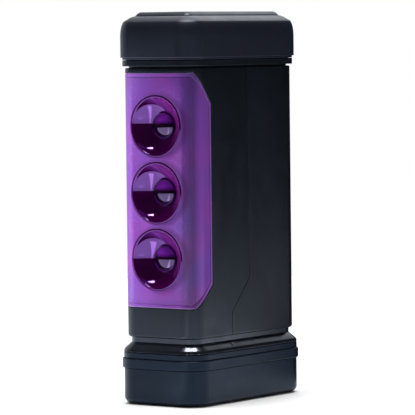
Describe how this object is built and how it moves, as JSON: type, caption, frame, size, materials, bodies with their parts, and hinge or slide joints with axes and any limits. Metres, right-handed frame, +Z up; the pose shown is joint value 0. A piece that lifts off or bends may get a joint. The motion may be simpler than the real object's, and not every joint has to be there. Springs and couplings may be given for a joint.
{
  "type": "uv sterilizer cabinet",
  "caption": "Slim tower for sterilizing hair-cutting tools under UV lamps, with a violet window wrapped round the front, lift-off lid, lift-out tool rack and wide base.",
  "frame": {"origin": "on the floor under the middle of the tower", "axes": "+Z up along the tower; the window faces -Y; +X is the tower's right side seen from behind the window's front, its short direction"},
  "size_m": [0.0794, 0.1492, 0.3],
  "materials": {
    "body_plastic": "satin",
    "base_plastic": "satin",
    "lid_plastic": "satin",
    "button_plastic": "satin",
    "inner_plastic": "matt",
    "window_violet": "frosted, with glossy cups",
    "lens_violet": "polished",
    "rubber": "matt",
    "bright_sheet": "bright rolled",
    "heat_sink_metal": "extruded",
    "steel": "zinc plated",
    "clear_cover": "clear",
    "led_package": "gloss",
    "circuit_board": "solder mask",
    "cable_jacket": "matt",
    "cell_sleeve": "shrink film",
    "rack_plastic": "fine texture"
  },
  "bodies": {
    "housing": {"front_shell": "body_plastic", "rear_shell": "body_plastic", "window_panel": "window_violet", "sight_lens_top": "lens_violet", "sight_lens_middle": "lens_violet", "sight_lens_bottom": "lens_violet", "collar_ring": "body_plastic", "base_cover": "base_plastic", "rim_band": "base_plastic", "base_belt": "base_plastic", "base_boot": "base_plastic", "base_plate": "inner_plastic", "foot_ring": "rubber", "base_screw_1": "steel", "base_screw_2": "steel", "base_screw_3": "steel", "base_screw_4": "steel", "chamber_liner": "bright_sheet", "lamp_cover": "clear_cover", "uv_led_top": "led_package", "uv_led_middle": "led_package", "uv_led_bottom": "led_package", "lamp_board": "circuit_board", "heat_sink": "heat_sink_metal", "lamp_cable": "cable_jacket", "lid_sensor": "inner_plastic", "control_board": "circuit_board", "key_switch": "inner_plastic", "charging_port": "steel", "light_pipe": "clear_cover", "battery_pack": "cell_sleeve"},
    "lid": {"lid_shell": "lid_plastic", "lid_top_cover": "lid_plastic", "lid_liner": "bright_sheet", "lid_seal": "rubber", "lid_magnet": "steel"},
    "rack": {"rack_tray": "rack_plastic", "rack_divider": "rack_plastic", "rack_grip": "rubber"},
    "button": {"power_button": "button_plastic"}
  },
  "joints": [
    {"name": "lid_lift", "type": "slide", "parent": "housing", "child": "lid", "axis": [0, 0, 1], "range_m": [0, 0.24]},
    {"name": "rack_lift", "type": "slide", "parent": "housing", "child": "rack", "axis": [0, 0, 1], "range_m": [0, 0.216]},
    {"name": "button_press", "type": "slide", "parent": "housing", "child": "button", "axis": [0, -1, 0], "range_m": [0, 0.0012], "stiffness_N_per_m": 800, "springref_m": -0.0003}
  ],
  "couplings": [
    {"joint": "rack_lift", "follows": "lid_lift", "ratio": 0.9}
  ]
}
